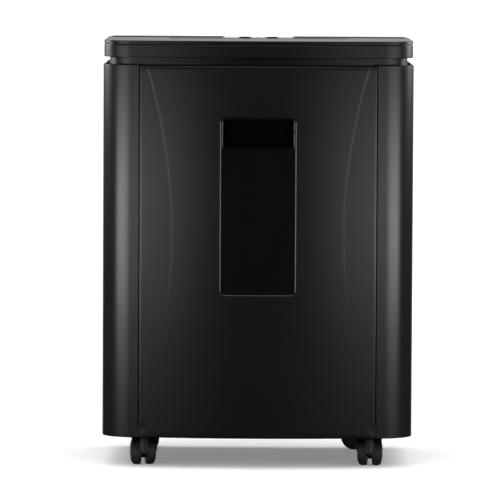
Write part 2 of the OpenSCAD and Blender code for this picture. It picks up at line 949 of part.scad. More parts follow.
module caster_pins(place) {
    color("#a8aaae") at_caster(place) {
        translate([0, 0, stem_low]) cylinder(h = floor_gap + socket_h - 3 - stem_low, r = stem_r);
        rod_x(-wheel_gap / 2 - wheel_w + 2.5, wheel_gap + 2 * wheel_w - 5, trail, wheel_r, axle_r);
    }
}

// Wheel with a closed, domed outer face and a blind bore for its axle
module caster_wheel(place, side) {
    inner = wheel_gap / 2;
    outer = inner + wheel_w;
    color("#202022") at_caster(place) mirror([side < 0 ? 1 : 0, 0, 0])
        translate([0, trail, wheel_r]) rotate([0, 90, 0]) rotate_extrude() polygon([
            [axle_r + running, inner], [wheel_r - 1.5, inner], [wheel_r, inner + 1.5],
            [wheel_r, outer - 5], [wheel_r - 1.2, outer - 3.2], [wheel_r - 3.5, outer - 1.4],
            [wheel_r - 7, outer - 0.3], [4, outer], [0, outer],
            [0, outer - 2], [axle_r + running, outer - 2]
        ]);
}

side_panel(-1);  // left_side_panel
side_panel(1);  // right_side_panel
rear_panel();
base_plate();
top_frame();
bin_rails();
caster_sockets();
neck_tray();
head_rim();
top_cover();
feed_throat();
control_panel();
indicator_lenses();
cutter_plates();
tie_rods();
shaft_bushes();
stripper_combs();
gearbox_cover();
idler_pin();
motor_can();
motor_mount();
circuit_board();
cord_gland();
switch_housing();
interlock_sensor();
case_screws();
bin_front();
handle_pocket();
window_pane();
waste_bin();
interlock_magnet();
cutter(front_axis, disc_count, drive_x);  // front_cutter
front_sync_gear();
drive_gear();
cutter(rear_axis, disc_count - 1, sync_x);  // rear_cutter
rear_sync_gear();
idler_gear();
motor_armature();
motor_pinion();
motor_fan();
push_button(-1);  // power_button
push_button(1);  // reverse_button
power_rocker();
caster_housing(FRONT_LEFT);  // front_left_housing
caster_pins(FRONT_LEFT);  // front_left_pins
caster_wheel(FRONT_LEFT, -1);  // front_left_wheel_1
caster_wheel(FRONT_LEFT, 1);  // front_left_wheel_2
caster_housing(FRONT_RIGHT);  // front_right_housing
caster_pins(FRONT_RIGHT);  // front_right_pins
caster_wheel(FRONT_RIGHT, -1);  // front_right_wheel_1
caster_wheel(FRONT_RIGHT, 1);  // front_right_wheel_2
caster_housing(REAR_LEFT);  // rear_left_housing
caster_pins(REAR_LEFT);  // rear_left_pins
caster_wheel(REAR_LEFT, -1);  // rear_left_wheel_1
caster_wheel(REAR_LEFT, 1);  // rear_left_wheel_2
caster_housing(REAR_RIGHT);  // rear_right_housing
caster_pins(REAR_RIGHT);  // rear_right_pins
caster_wheel(REAR_RIGHT, -1);  // rear_right_wheel_1
caster_wheel(REAR_RIGHT, 1);  // rear_right_wheel_2
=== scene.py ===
"""Looks of a cabinet paper shredder: shells, fittings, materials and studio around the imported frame."""

from __future__ import annotations

import json
import logging
import math
from dataclasses import dataclass
from enum import Enum
from typing import Iterable, Sequence

import bmesh
import bpy
from mathutils import Matrix, Vector


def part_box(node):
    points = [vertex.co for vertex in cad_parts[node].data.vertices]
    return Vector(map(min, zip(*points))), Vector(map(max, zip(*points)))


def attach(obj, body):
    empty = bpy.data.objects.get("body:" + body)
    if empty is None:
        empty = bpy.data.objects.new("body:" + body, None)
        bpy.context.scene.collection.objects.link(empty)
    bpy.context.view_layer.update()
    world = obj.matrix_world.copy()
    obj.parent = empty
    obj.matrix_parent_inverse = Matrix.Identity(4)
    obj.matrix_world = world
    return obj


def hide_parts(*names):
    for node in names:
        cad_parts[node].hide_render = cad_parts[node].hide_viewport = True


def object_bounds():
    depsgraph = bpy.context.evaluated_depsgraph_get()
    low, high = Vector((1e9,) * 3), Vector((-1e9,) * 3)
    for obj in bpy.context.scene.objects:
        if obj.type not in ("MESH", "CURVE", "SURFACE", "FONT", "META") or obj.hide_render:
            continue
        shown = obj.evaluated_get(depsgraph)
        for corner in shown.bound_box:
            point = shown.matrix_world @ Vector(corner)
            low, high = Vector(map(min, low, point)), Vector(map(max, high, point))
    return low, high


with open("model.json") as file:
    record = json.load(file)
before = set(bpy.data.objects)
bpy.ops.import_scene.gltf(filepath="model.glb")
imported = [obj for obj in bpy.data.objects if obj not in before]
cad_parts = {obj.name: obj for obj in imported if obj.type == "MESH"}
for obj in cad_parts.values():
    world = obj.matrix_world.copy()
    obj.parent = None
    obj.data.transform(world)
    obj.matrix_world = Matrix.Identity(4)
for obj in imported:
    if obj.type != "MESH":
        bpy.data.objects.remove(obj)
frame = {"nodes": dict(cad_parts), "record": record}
CAD_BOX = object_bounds()

LOG = logging.getLogger("shredder")
FLANGE = 0.006
Point = tuple[float, float, float]
Colour = tuple[float, float, float]


class Slot(Enum):
    """Material slots of the record that the builder's own pieces are finished in."""

    BODY = "body_plastic"
    HEAD = "head_plastic"
    INNER = "inner_plastic"
    BIN = "bin_plastic"
    SCREW = "screw_steel"
    CASTER = "caster_plastic"
    WHEEL = "wheel_nylon"


# ---------------------------------------------------------------- shader maths


class Wire:
    """A node's output socket that arithmetic can be written with."""

    def __init__(self, tree: bpy.types.NodeTree, socket: bpy.types.NodeSocket) -> None:
        """Keep the tree that new Math nodes go into and the socket they start from."""
        self.tree = tree
        self.socket = socket

    def _math(self, operation: str, first: object, second: object) -> Wire:
        """Add one Math node.

        Args:
            operation: the Math node's operation.
            first: a Wire or a number for the first input.
            second: a Wire or a number for the second input.

        Returns:
            The node's result.
        """
        node = self.tree.nodes.new("ShaderNodeMath")
        node.operation = operation
        for socket, value in zip(node.inputs, (first, second)):
            if isinstance(value, Wire):
                self.tree.links.new(value.socket, socket)
            else:
                socket.default_value = float(value)
        return Wire(self.tree, node.outputs[0])

    def __add__(self, other: object) -> Wire:
        """Sum of two values."""
        return self._math("ADD", self, other)

    def __radd__(self, other: object) -> Wire:
        """Sum with the value on the right."""
        return self._math("ADD", other, self)

    def __sub__(self, other: object) -> Wire:
        """Difference of two values."""
        return self._math("SUBTRACT", self, other)

    def __rsub__(self, other: object) -> Wire:
        """Difference with the value on the right."""
        return self._math("SUBTRACT", other, self)

    def __mul__(self, other: object) -> Wire:
        """Product of two values."""
        return self._math("MULTIPLY", self, other)

    def __rmul__(self, other: object) -> Wire:
        """Product with the value on the right."""
        return self._math("MULTIPLY", other, self)

    def __truediv__(self, other: object) -> Wire:
        """Quotient of two values."""
        return self._math("DIVIDE", self, other)

    def at_least(self, other: object) -> Wire:
        """Larger of two values."""
        return self._math("MAXIMUM", self, other)

    def at_most(self, other: object) -> Wire:
        """Smaller of two values."""
        return self._math("MINIMUM", self, other)

    def ramp(self, low: float, high: float) -> Wire:
        """Share of the way from low to high, held between 0 and 1."""
        return ((self - low) / (high - low)).at_least(0.0).at_most(1.0)


class Mixture:
    """A material's node tree, with its Principled shader and the nodes that feed it."""

    def __init__(self, name: str) -> None:
        """Start an empty material with a Principled shader."""
        self.material = bpy.data.materials.new(name)
        self.material.use_nodes = True
        self.tree = self.material.node_tree
        self.shader = self.tree.nodes["Principled BSDF"]

    def node(self, kind: str, settings: dict[str, object] | None = None, **sockets: object) -> bpy.types.Node:
        """Add a node.

        Args:
            kind: the node's type.
            settings: properties that are set before its sockets.
            sockets: input names, with underscores for spaces, and their values or Wires.

        Returns:
            The new node.
        """
        node = self.tree.nodes.new(kind)
        for key, value in (settings or {}).items():
            setattr(node, key, value)
        for key, value in sockets.items():
            socket = node.inputs[key.replace("_", " ")]
            if isinstance(value, Wire):
                self.tree.links.new(value.socket, socket)
            else:
                socket.default_value = value
        return node

    def out(self, node: bpy.types.Node, name: str) -> Wire:
        """A node's output by its name."""
        return Wire(self.tree, node.outputs[name])

    def place(self, stretch: Point = (1.0, 1.0, 1.0)) -> Wire:
        """Object coordinates, stretched along each axis."""
        coordinates = self.node("ShaderNodeTexCoord")
        mapping = self.node("ShaderNodeMapping", None, Vector=self.out(coordinates, "Object"), Scale=stretch)
        return self.out(mapping, "Vector")

    def noise(self, scale: float, detail: float = 2.0, stretch: Point = (1.0, 1.0, 1.0)) -> Wire:
        """Noise between 0 and 1 on Object coordinates."""
        texture = self.node(
            "ShaderNodeTexNoise", {"normalize": True}, Vector=self.place(stretch), Scale=scale, Detail=detail
        )
        return self.out(texture, "Factor" if "Factor" in texture.outputs else "Fac")

    def height(self) -> Wire:
        """Height above the floor in metres."""
        axes = self.node("ShaderNodeSeparateXYZ", None, Vector=self.place())
        return self.out(axes, "Z")

    def blend(self, share: Wire, low: Colour, high: Colour) -> Wire:
        """Colour between two colours by a share."""
        mix = self.node("ShaderNodeMix", {"data_type": "RGBA"})
        colours = [socket for socket in mix.inputs if socket.type == "RGBA"]
        colours[0].default_value = (*low, 1.0)
        colours[1].default_value = (*high, 1.0)
        self.tree.links.new(share.socket, mix.inputs[0])
        return Wire(self.tree, next(socket for socket in mix.outputs if socket.type == "RGBA"))

    def relief(self, height: Wire, depth: float, strength: float = 1.0) -> None:
        """Feed a height field to the shader's normal.

        Args:
            height: the field, between 0 and 1.
            depth: the relief's real depth in metres.
            strength: the Bump node's strength.
        """
        bump = self.node("ShaderNodeBump", None, Height=height, Distance=depth, Strength=strength)
        self.feed("Normal", self.out(bump, "Normal"))

    def feed(self, name: str, wire: Wire) -> None:
        """Link a value to one of the shader's sockets."""
        self.tree.links.new(wire.socket, self.shader.inputs[name])

    def fix(self, **sockets: object) -> None:
        """Set constants on the shader's own sockets."""
        for key, value in sockets.items():
            self.shader.inputs[key.replace("_", " ")].default_value = value


def tint(colour: Colour, factor: float) -> Colour:
    """A colour made lighter or darker by a factor."""
    return tuple(channel * factor for channel in colour)


@dataclass(frozen=True)
class Moulded:
    """Injection-moulded plastic with a spark-eroded grain, soft clouding and settled dust.

    grain is the texture's frequency per metre, depth its relief in metres, cloud the share by which
    tone and gloss drift, and dust the share of pale dust that gathers low down.
    """

    colour: Colour
    roughness: float
    grain: float = 1500.0
    depth: float = 0.000012
    cloud: float = 0.1
    dust: float = 0.0
    ior: float = 1.5

    def build(self, name: str) -> bpy.types.Material:
        """The finish as a material."""
        mix = Mixture(name)
        clouds = mix.noise(6.0, 3.0)
        grain = mix.noise(self.grain, 1.0)
        speck = mix.noise(420.0, 3.0).ramp(0.62, 0.75)
        low = 1.0 - mix.height().ramp(0.02, 0.2)
        dust = (speck * low * self.dust).at_most(1.0)
        tone = (clouds * self.cloud * 2.0 + grain * 0.08 + dust).at_most(1.0)
        mix.feed("Base Color", mix.blend(tone, tint(self.colour, 0.86), tint(self.colour, 2.2)))
        mix.feed("Roughness", self.roughness + (clouds - 0.5) * self.cloud * 0.6 + grain * 0.03 + dust * 0.2)
        mix.fix(IOR=self.ior)
        mix.relief(grain, self.depth)
        return mix.material


@dataclass(frozen=True)
class Gloss:
    """Polished plastic with faint wipe marks."""

    colour: Colour
    roughness: float = 0.08

    def build(self, name: str) -> bpy.types.Material:
        """The finish as a material."""
        mix = Mixture(name)
        wipes = mix.noise(60.0, 4.0, (1.0, 6.0, 1.0)).ramp(0.35, 0.8)
        mix.feed("Base Color", mix.blend(wipes * 0.3, self.colour, tint(self.colour, 1.6)))
        mix.feed("Roughness", self.roughness + wipes * 0.06)
        mix.fix(Coat_Weight=0.6, Coat_Roughness=0.03)
        mix.relief(mix.noise(25.0, 2.0), 0.0001, 0.3)
        return mix.material


@dataclass(frozen=True)
class Smoked:
    """Dark see-through plastic, with fine scratches in its gloss."""

    colour: Colour
    clear: float
    roughness: float = 0.12

    def build(self, name: str) -> bpy.types.Material:
        """The finish as a material."""
        mix = Mixture(name)
        haze = mix.noise(35.0, 4.0, (1.0, 1.0, 0.3))
        scratch = mix.noise(900.0, 2.0, (1.0, 1.0, 0.05)).ramp(0.66, 0.72)
        mix.feed("Base Color", mix.blend(haze, tint(self.colour, 0.8), tint(self.colour, 1.3)))
        mix.feed("Roughness", self.roughness + haze * 0.05 + scratch * 0.12)
        mix.fix(Transmission_Weight=self.clear, IOR=1.49)
        mix.relief(haze, 0.0001, 0.2)
        return mix.material


@dataclass(frozen=True)
class Ground:
    """Bare metal with machining marks along one axis and a thin film of oil or plating."""

    colour: Colour
    roughness: float
    marks: Point = (1.0, 30.0, 30.0)
    wear: float = 0.25

    def build(self, name: str) -> bpy.types.Material:
        """The finish as a material."""
        mix = Mixture(name)
        marks = mix.noise(120.0, 3.0, self.marks)
        film = mix.noise(30.0, 4.0)
        mix.feed("Base Color", mix.blend(film, tint(self.colour, 1.0 - self.wear), tint(self.colour, 1.15)))
        mix.feed("Roughness", self.roughness + (marks - 0.5) * 0.2 + (film - 0.5) * 0.15)
        mix.fix(Metallic=1.0)
        mix.relief(marks, 0.00003, 0.6)
        return mix.material


@dataclass(frozen=True)
class Laminate:
    """Circuit board: solder mask over a lattice of copper tracks."""

    colour: Colour
    copper: Colour

    def build(self, name: str) -> bpy.types.Material:
        """The finish as a material."""
        mix = Mixture(name)
        lattice = mix.node(
            "ShaderNodeTexBrick", {"offset": 0.5}, Vector=mix.place(), Scale=160.0, Mortar_Size=0.03
        )
        tracks = mix.out(lattice, "Fac" if "Fac" in lattice.outputs else "Factor")
        patches = mix.noise(90.0, 1.0).ramp(0.5, 0.55)
        mix.feed("Base Color", mix.blend(tracks * patches * 0.6, self.colour, self.copper))
        mix.feed("Roughness", 0.35 + patches * 0.1)
        mix.relief(tracks, 0.0001)
        return mix.material


FINISHES: dict[str, Moulded | Gloss | Smoked | Ground | Laminate] = {
    "body_plastic": Moulded((0.002, 0.002, 0.0022), 0.28, dust=0.5),
    "head_plastic": Moulded((0.0024, 0.0024, 0.0026), 0.27),
    "inner_plastic": Moulded((0.0006, 0.0006, 0.0007), 0.6, depth=0.00003, ior=1.15),
    "gloss_panel": Gloss((0.006, 0.006, 0.007)),
    "button_plastic": Moulded((0.006, 0.006, 0.0065), 0.42),
    "lens": Smoked((0.35, 0.5, 0.42), 0.6),
    "smoked_pane": Smoked((0.004, 0.004, 0.0045), 0.6),
    "bin_plastic": Moulded((0.018, 0.018, 0.019), 0.5, cloud=0.2),
    "plate_steel": Ground((0.55, 0.55, 0.56), 0.38, (30.0, 1.0, 30.0)),
    "cutter_steel": Ground((0.4, 0.4, 0.41), 0.3, (1.0, 1.0, 1.0)),
    "bush_bronze": Ground((0.6, 0.38, 0.16), 0.4),
    "gear_nylon": Moulded((0.62, 0.58, 0.48), 0.45, cloud=0.15),
    "gear_steel": Ground((0.42, 0.42, 0.43), 0.42),
    "motor_steel": Ground((0.4, 0.41, 0.43), 0.36, (1.0, 20.0, 20.0)),
    "armature": Ground((0.55, 0.28, 0.12), 0.4),
    "fan_nylon": Moulded((0.7, 0.7, 0.66), 0.45),
    "board": Laminate((0.012, 0.09, 0.035), (0.4, 0.22, 0.08)),
    "screw_steel": Ground((0.06, 0.06, 0.065), 0.35),
    "caster_plastic": Moulded((0.0055, 0.0055, 0.006), 0.45, dust=0.3),
    "wheel_nylon": Moulded((0.008, 0.008, 0.0085), 0.5, dust=0.6, cloud=0.2),
    "pin_steel": Ground((0.6, 0.6, 0.62), 0.28),
}


class Wardrobe:
    """Builds each finish once and dresses objects in it."""

    def __init__(self) -> None:
        """Read which slot each node has."""
        self.slots = {s["node"]: s["material_slot"] for s in frame["record"]["subparts"]}
        self.made: dict[str, bpy.types.Material] = {}

    def finish(self, slot: str) -> bpy.types.Material:
        """The material of a slot, built on first use."""
        if slot not in self.made:
            self.made[slot] = FINISHES[slot].build(slot + "_finish")
        return self.made[slot]

    def dress(self, obj: bpy.types.Object, slot: str) -> None:
        """Give every material slot of an object one finish."""
        material = self.finish(slot)
        if not obj.material_slots:
            obj.data.materials.append(material)
        for place in obj.material_slots:
            place.material = material

    def dress_nodes(self) -> None:
        """Dress every CAD node that still shows."""
        for name, obj in frame["nodes"].items():
            self.dress(obj, self.slots[name])


# ---------------------------------------------------------------- mesh work


def body_of_node(node: str) -> str:
    """The body a CAD node belongs to."""
    bodies = frame["record"]["behaviour"]["bodies"]
    return next(body for body, nodes in bodies.items() if node in nodes)


def add_object(name: str, mesh: bpy.types.Mesh) -> bpy.types.Object:
    """Link a new object at the origin."""
    obj = bpy.data.objects.new(name, mesh)
    bpy.context.scene.collection.objects.link(obj)
    return obj


def smooth(mesh: bpy.types.Mesh, angle: float = 32.0) -> None:
    """Shade smooth across edges flatter than an angle in degrees."""
    mesh.shade_smooth()
    mesh.set_sharp_from_angle(angle=math.radians(angle))


def from_faces(name: str, points: Sequence[Vector], faces: Sequence[Sequence[int]]) -> bpy.types.Object:
    """Object from points and faces, with doubles merged and normals turned outwards."""
    mesh = bpy.data.meshes.new(name)
    mesh.from_pydata([tuple(p) for p in points], [], faces)
    work = bmesh.new()
    work.from_mesh(mesh)
    bmesh.ops.remove_doubles(work, verts=work.verts, dist=1e-6)
    bmesh.ops.recalc_face_normals(work, faces=work.faces)
    work.to_mesh(mesh)
    work.free()
    smooth(mesh)
    return add_object(name, mesh)


def sheet(name: str, near: Sequence[Sequence[Vector]], far: Sequence[Sequence[Vector]]) -> bpy.types.Object:
    """Closed slab between two grids of points.

    Args:
        name: the new object's name.
        near: rows of points of the outer face.
        far: rows of points of the inner face, as many as near.

    Returns:
        The slab.
    """
    tall, wide = len(near), len(near[0])
    points = [p for row in near for p in row] + [p for row in far for p in row]
    offset = tall * wide
    faces = []
    for j in range(tall - 1):
        for i in range(wide - 1):
            a = j * wide + i
            faces.append((a, a + 1, a + wide + 1, a + wide))
            faces.append((offset + a, offset + a + wide, offset + a + wide + 1, offset + a + 1))
    top = (tall - 1) * wide
    rim = [*range(wide), *[j * wide + wide - 1 for j in range(1, tall)]]
    rim += [top + i for i in range(wide - 2, -1, -1)] + [j * wide for j in range(tall - 2, 0, -1)]
    faces += [(a, b, offset + b, offset + a) for a, b in zip(rim, rim[1:] + rim[:1])]
    return from_faces(name, points, faces)


def carve(obj: bpy.types.Object, tool: bpy.types.Object, operation: str) -> bpy.types.Object:
    """Cut an object with a tool, which is then removed.

    Args:
        obj: the object to cut.
        tool: the closed shape to cut with.
        operation: the Boolean modifier's operation.

    Returns:
        The cut object with a plain mesh and no materials.
    """
    cut = obj.modifiers.new("cut", "BOOLEAN")
    cut.operation = operation
    cut.solver = "EXACT"
    cut.object = tool
    flatten(obj)
    bpy.data.objects.remove(tool)
    obj.data.materials.clear()
    return obj


def flatten(obj: bpy.types.Object) -> bpy.types.Object:
    """Turn an object's modifiers into a plain mesh and remove them."""
    graph = bpy.context.evaluated_depsgraph_get()
    mesh = bpy.data.meshes.new_from_object(obj.evaluated_get(graph), depsgraph=graph)
    obj.modifiers.clear()
    old = obj.data
    obj.data = mesh
    bpy.data.meshes.remove(old)
    return obj


def join(first: bpy.types.Object, others: Iterable[bpy.types.Object]) -> bpy.types.Object:
    """Join objects at the origin into the first one."""
    work = bmesh.new()
    work.from_mesh(first.data)
    for other in others:
        work.from_mesh(other.data)
        bpy.data.objects.remove(other)
    work.to_mesh(first.data)
    work.free()
    smooth(first.data)
    return first


def refined(node: str, radius: float, segments: int = 3) -> bpy.types.Object:
    """A copy of a CAD node with whole faces and rounded edges.

    Args:
        node: the CAD node.
        radius: the edge rounding in metres.
        segments: the rounding's segments.

    Returns:
        The new object, not yet riding on anything.
    """
    mesh = frame["nodes"][node].data.copy()
    work = bmesh.new()
    work.from_mesh(mesh)
    bmesh.ops.remove_doubles(work, verts=work.verts, dist=2e-6)
    bmesh.ops.dissolve_limit(work, angle_limit=math.radians(0.12), verts=work.verts, edges=work.edges,
                             use_dissolve_boundaries=False)
    work.to_mesh(mesh)
    work.free()
    mesh.materials.clear()
    smooth(mesh)
    obj = add_object(node + "_finished", mesh)
    bevel = obj.modifiers.new("edge", "BEVEL")
    bevel.width = radius
    bevel.segments = segments
    bevel.limit_method = "ANGLE"
    bevel.angle_limit = math.radians(35.0)
    bevel.harden_normals = True
    bevel.use_clamp_overlap = True
    return flatten(obj)


def put(piece: bpy.types.Object, wardrobe: Wardrobe, node: str) -> None:
    """Let a piece stand for a CAD node: same body, same slot, same finish."""
    wardrobe.dress(piece, wardrobe.slots[node])
    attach(piece, body_of_node(node))
    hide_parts(node)
    LOG.info("%s stands for %s", piece.name, node)


def add_piece(piece: bpy.types.Object, wardrobe: Wardrobe, body: str, slot: Slot) -> None:
    """Let an added piece ride on a body in its own finish."""
    wardrobe.dress(piece, slot.value)
    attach(piece, body)
    LOG.info("%s rides on %s", piece.name, body)


# ---------------------------------------------------------------- repeated details


class Repeater:
    """Geometry Nodes tree under construction, with named inputs and one plain-mesh result."""

    def __init__(self, name: str) -> None:
        """Start a tree with a geometry input and output."""
        self.tree = bpy.data.node_groups.new(name, "GeometryNodeTree")
        self.tree.interface.new_socket("Geometry", in_out="INPUT", socket_type="NodeSocketGeometry")
        self.tree.interface.new_socket("Geometry", in_out="OUTPUT", socket_type="NodeSocketGeometry")
        self.inlet = self.tree.nodes.new("NodeGroupInput")
        self.outlet = self.tree.nodes.new("NodeGroupOutput")
        self.names: dict[str, str] = {}

    def size(self, name: str, kind: str = "NodeSocketFloat") -> bpy.types.NodeSocket:
        """Add a named input and give its socket inside the tree."""
        item = self.tree.interface.new_socket(name, in_out="INPUT", socket_type=kind)
        self.names[name] = item.identifier
        return self.inlet.outputs[name]

    def node(self, kind: str, settings: dict[str, object] | None = None, **sockets: object) -> bpy.types.Node:
        """Add a node, its settings first and then the values or links of its sockets."""
        node = self.tree.nodes.new(kind)
        for key, value in (settings or {}).items():
            setattr(node, key, value)
        for key, value in sockets.items():
            socket = node.inputs[key.replace("_", " ")]
            if isinstance(value, bpy.types.NodeSocket):
                self.tree.links.new(value, socket)
            else:
                socket.default_value = value
        return node

    def close(self, points: bpy.types.NodeSocket, shape: bpy.types.NodeSocket, **sockets: object) -> None:
        """End the tree: a shape on every point, realised and given its material."""
        spread = self.node("GeometryNodeInstanceOnPoints", None, Points=points, Instance=shape, **sockets)
        real = self.node("GeometryNodeRealizeInstances", None, Geometry=spread.outputs["Instances"])
        material = self.size("Finish", "NodeSocketMaterial")
        dress = self.node("GeometryNodeSetMaterial", None, Geometry=real.outputs["Geometry"],
                          Material=material)
        self.tree.links.new(dress.outputs["Geometry"], self.outlet.inputs[0])

    def make(self, name: str, seeds: Sequence[Vector], **values: object) -> bpy.types.Object:
        """Run the tree on a mesh of seed points.

        Args:
            name: the new object's name.
            seeds: where the shapes go.
            values: the named inputs, with underscores for spaces.

        Returns:
            An object with a plain mesh.
        """
        mesh = bpy.data.meshes.new(name)
        mesh.from_pydata([tuple(seed) for seed in seeds], [], [])
        obj = add_object(name, mesh)
        modifier = obj.modifiers.new("repeat", "NODES")
        modifier.node_group = self.tree
        for key, value in values.items():
            modifier[self.names[key.replace("_", " ")]] = value
        flatten(obj)
        smooth(obj.data)
        return obj


def rib_tree() -> Repeater:
    """Tree that puts a straight rib on every seed point."""
    tree = Repeater("rib_row")
    size = tree.size("Rib Size", "NodeSocketVector")
    cube = tree.node("GeometryNodeMeshCube", None, Size=size)
    tree.close(tree.inlet.outputs["Geometry"], cube.outputs["Mesh"])
    return tree


def screw_tree() -> Repeater:
    """Tree that puts a pan-head screw with a cross recess on every seed point, facing +Y."""
    tree = Repeater("screw_row")
    radius = tree.size("Head Radius")
    height = tree.size("Head Height")
    recess = tree.size("Recess Size", "NodeSocketVector")
    crossed = tree.size("Crossed Recess Size", "NodeSocketVector")
    head = tree.node("GeometryNodeMeshCylinder", {"fill_type": "NGON"}, Vertices=28, Radius=radius,
                     Depth=height)
    slot = tree.node("GeometryNodeMeshCube", None, Size=recess)
    cross = tree.node("GeometryNodeMeshCube", None, Size=crossed)
    lift = tree.node("ShaderNodeCombineXYZ", None, Z=height)
    cuts = []
    for bar in (slot, cross):
        moved = tree.node("GeometryNodeTransform", None, Geometry=bar.outputs["Mesh"],
                          Translation=lift.outputs["Vector"])
        cuts.append(moved.outputs["Geometry"])
    carved = tree.node("GeometryNodeMeshBoolean", {"operation": "DIFFERENCE"})
    tree.tree.links.new(head.outputs["Mesh"], carved.inputs[0])
    for cut in cuts:
        tree.tree.links.new(cut, carved.inputs[1])
    turned = tree.node("GeometryNodeTransform", None, Geometry=carved.outputs["Mesh"],
                       Rotation=(math.radians(-90.0), 0.0, 0.0))
    tree.close(tree.inlet.outputs["Geometry"], turned.outputs["Geometry"])
    return tree


# ---------------------------------------------------------------- sub-assemblies


@dataclass
class BinFront:
    """Bowed, full-height front of the pull-out bin, with its creases and the lip of the opening."""

    bow_radius: float = 0.820
    wall: float = 0.003
    edge_round: float = 0.0012
    waist_half: float = 0.110
    waist_height: float = 0.300
    crease_radius: float = 0.730
    crease_depth: float = 0.0002
    crease_width: float = 0.0028
    fade_from: float = 0.330
    fade_to: float = 0.140
    lip: float = 0.0016
    window_round: float = 0.006
    rib_thick: float = 0.0025
    rib_depth: float = 0.0085
    middle_cells: int = 24
    crease_cells: int = 6
    flank_cells: int = 9
    upright_cells: int = 90

    def __post_init__(self) -> None:
        """Take the extent of the panel and of its opening from the frame."""
        low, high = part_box("bin_front")
        pane_low, pane_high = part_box("window_pane")
        self.window_half = pane_high.x - FLANGE
        self.window_low = pane_low.z + FLANGE
        self.window_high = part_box("handle_pocket")[1].z - FLANGE
        self.half = high.x
        self.low = low.z
        self.high = high.z
        self.apex = low.y

    def bow(self, x: float) -> float:
        """Y of the plain bowed face at x."""
        return self.apex + self.bow_radius - math.sqrt(self.bow_radius**2 - x * x)

    def crease(self, z: float) -> float:
        """Distance of the crease from the middle at height z."""
        rise = z - self.waist_height
        return self.waist_half + self.crease_radius - math.sqrt(self.crease_radius**2 - rise * rise)

    def step(self, x: float, z: float) -> float:
        """How far the flanks outside the creases are sunk at a point."""
        outside = (abs(x) - self.crease(z)) / self.crease_width + 0.5
        share = min(max(outside, 0.0), 1.0)
        share = share * share * (3.0 - 2.0 * share)
        fade = min(max((z - self.fade_to) / (self.fade_from - self.fade_to), 0.0), 1.0)
        return self.crease_depth * share * fade * fade * (3.0 - 2.0 * fade)

    def roll(self, gap: float) -> float:
        """How far the face has rolled back at a distance from its border."""
        inside = max(self.edge_round - gap, 0.0)
        return self.edge_round - math.sqrt(self.edge_round**2 - inside * inside)

    def face_y(self, x: float, z: float) -> float:
        """Y of the finished face at a point."""
        gap = min(self.half - abs(x), z - self.low, self.high - z)
        return self.bow(x) + self.step(x, z) + self.roll(max(gap, 0.0))

    def _borders(self) -> list[float]:
        """Distances from a border at which the rounding has a line of points."""
        return [self.edge_round * share for share in (0.0, 0.04, 0.15, 0.35, 0.65, 1.0)]

    def columns(self, z: float) -> list[float]:
        """X of each column of points at height z, following the creases."""
        line = self.crease(z)
        half_step = self.crease_width / 2.0
        inner = line - half_step
        outer = line + half_step
        middle = [inner * (i / self.middle_cells) for i in range(-self.middle_cells, self.middle_cells + 1)]
        rise = [inner + self.crease_width * i / self.crease_cells for i in range(1, self.crease_cells + 1)]
        rim = self.half - self.edge_round
        flank = [outer + (rim - outer) * i / self.flank_cells for i in range(1, self.flank_cells)]
        border = [self.half - gap for gap in reversed(self._borders())]
        right = rise + flank + border
        return [-x for x in reversed(right)] + middle + right

    def rows(self) -> list[float]:
        """Z of each row of points."""
        count = self.upright_cells
        low = self.low + self.edge_round
        high = self.high - self.edge_round
        between = [low + (high - low) * i / count for i in range(1, count)]
        gaps = self._borders()
        return [self.low + g for g in gaps] + between + [self.high - g for g in reversed(gaps)]

    def outline(self, grow: float) -> list[tuple[float, float]]:
        """Rounded outline of the opening, grown outwards, as X and Z."""
        radius = self.window_round + grow
        half = self.window_half - self.window_round
        low = self.window_low + self.window_round
        high = self.window_high - self.window_round
        points = []
        corners = ((half, high, 0.0), (-half, high, 90.0), (-half, low, 180.0), (half, low, 270.0))
        for x, z, start in corners:
            for i in range(9):
                angle = math.radians(start + 90.0 * i / 8.0)
                points.append((x + radius * math.cos(angle), z + radius * math.sin(angle)))
        return points

    def slab(self) -> bpy.types.Object:
        """The bowed panel as a closed slab."""
        grid = [[(x, z) for x in self.columns(z)] for z in self.rows()]
        front = [[Vector((x, self.face_y(x, z), z)) for x, z in row] for row in grid]
        back = [[Vector((x, self.bow(x) + self.wall, z)) for x, z in row] for row in grid]
        return sheet("bin_front_finished", front, back)

    def prism(self, grow: float) -> bpy.types.Object:
        """Prism through the panel with the opening's outline, grown outwards."""
        outline = self.outline(grow)
        count = len(outline)
        near, far = self.apex - 0.01, self.apex + 0.03
        points = [Vector((x, near, z)) for x, z in outline] + [Vector((x, far, z)) for x, z in outline]
        faces = [tuple(range(count)), tuple(reversed(range(count, 2 * count)))]
        faces += [(i, (i + 1) % count, count + (i + 1) % count, count + i) for i in range(count)]
        return from_faces("opening_cutter", points, faces)

    def lip_ring(self) -> bpy.types.Object:
        """Chamfered lip round the opening, a closed ring that fills the cut's edge."""
        lip = self.lip
        profile = [(lip, 0.0), (lip * 0.85, 0.00006), (lip * 0.2, 0.00052), (lip * 0.06, 0.0008),
                   (0.0, 0.0013), (0.0, self.wall), (lip, self.wall)]
        loops = []
        for grow, depth in profile:
            loop = [Vector((x, self.bow(x) + self.step(x, z) + depth, z)) for x, z in self.outline(grow)]
            loops.append(loop)
        count = len(loops[0])
        points = [p for loop in loops for p in loop]
        faces = []
        for k in range(len(loops)):
            after = (k + 1) % len(loops)
            for i in range(count):
                j = (i + 1) % count
                faces.append((k * count + i, k * count + j, after * count + j, after * count + i))
        return from_faces("opening_lip", points, faces)

